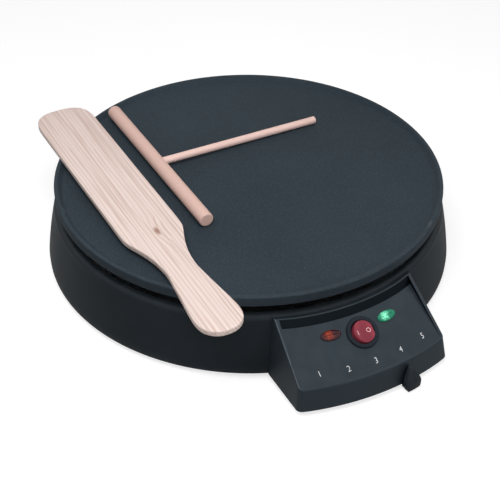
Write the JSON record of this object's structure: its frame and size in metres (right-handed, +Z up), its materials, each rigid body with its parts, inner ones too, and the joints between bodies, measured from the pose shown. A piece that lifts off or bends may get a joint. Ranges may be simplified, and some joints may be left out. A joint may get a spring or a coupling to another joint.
{
  "type": "electric crepe maker",
  "caption": "Round electric crepe maker: rimmed cooking plate on a dark base, front control wedge with switch, lamps and lever, wooden spatula and spreader.",
  "frame": {"origin": "on the cooking plate's axis, at the level of the table that the feet stand on", "axes": "+Z up along the plate's axis, -Y towards the control housing at the front, +X to the right seen from the front"},
  "size_m": [0.35, 0.4032, 0.0827],
  "materials": {
    "charcoal_plastic": "fine matt moulded charcoal",
    "plate_coating": "dark non-stick coating over die-cast aluminium",
    "element_steel": "heat-dulled",
    "tinned_steel": "zinc plated",
    "spacer_steel": "turned and plain",
    "reflector_sheet": "aluminised sheet, satin",
    "foot_rubber": "matt black rubber",
    "switch_black": "satin black",
    "rocker_red": "satin dark crimson",
    "brass": "bright brass",
    "bimetal": "rolled bimetal, dull",
    "red_lens": "clear red",
    "green_lens": "clear green",
    "lamp_glass": "clear lamp glass",
    "ceramic": "off-white ceramic or heat-proof moulding",
    "live_insulation": "brown sleeve",
    "neutral_insulation": "blue sleeve",
    "earth_insulation": "green sleeve",
    "pine": "sanded, unvarnished pale pine",
    "beech": "sanded, unvarnished pinkish dowel"
  },
  "bodies": {
    "machine": {"cooking_plate": "plate_coating", "heating_element": "element_steel", "element_pins": "tinned_steel", "element_straps": "element_steel", "strap_screws": "tinned_steel", "plate_posts": "spacer_steel", "plate_bolts": "tinned_steel", "heat_reflector": "reflector_sheet", "reflector_screws": "tinned_steel", "base_shell": "charcoal_plastic", "control_housing": "charcoal_plastic", "housing_screws": "tinned_steel", "bottom_cover": "charcoal_plastic", "cover_screws": "tinned_steel", "rubber_feet": "foot_rubber", "box_feet": "foot_rubber", "switch_case": "switch_black", "switch_terminals": "brass", "red_lamp_lens": "red_lens", "green_lamp_lens": "green_lens", "lamp_holders": "ceramic", "neon_lamps": "lamp_glass", "thermostat_frame": "spacer_steel", "thermostat_posts": "brass", "thermostat_screws": "tinned_steel", "ceramic_stack": "ceramic", "contact_blades": "brass", "bimetal_strip": "bimetal", "thermal_fuse": "ceramic", "fuse_clip": "element_steel", "fuse_screw": "tinned_steel", "terminal_block": "ceramic", "terminal_screws": "brass", "outlet_bush": "switch_black", "live_wires": "live_insulation", "neutral_wires": "neutral_insulation", "earth_wire": "earth_insulation", "earth_screw": "brass"},
    "rocker": {"switch_rocker": "rocker_red"},
    "lever": {"thermostat_spindle": "spacer_steel", "lever_arm": "tinned_steel", "lever_knob": "charcoal_plastic", "lever_screw": "tinned_steel"},
    "spatula": {"spatula": "pine"},
    "spreader": {"spreader_bar": "beech", "spreader_handle": "beech"}
  },
  "joints": [
    {"name": "switch_rock", "type": "hinge", "parent": "machine", "child": "rocker", "pos_m": [0, -0.18598, 0.03882], "axis": [0, 0.8614, 0.5079], "range_deg": [-20, 0]},
    {"name": "lever_turn", "type": "hinge", "parent": "machine", "child": "lever", "pos_m": [0, -0.062, 0.0105], "axis": [0, 0, 1], "range_deg": [-27.4, 9.2]},
    {"name": "spatula_lift", "type": "slide", "parent": "machine", "child": "spatula", "axis": [0, 0, 1], "range_m": [0, 0.1]},
    {"name": "spreader_lift", "type": "slide", "parent": "machine", "child": "spreader", "axis": [0, 0, 1], "range_m": [0, 0.1]}
  ]
}
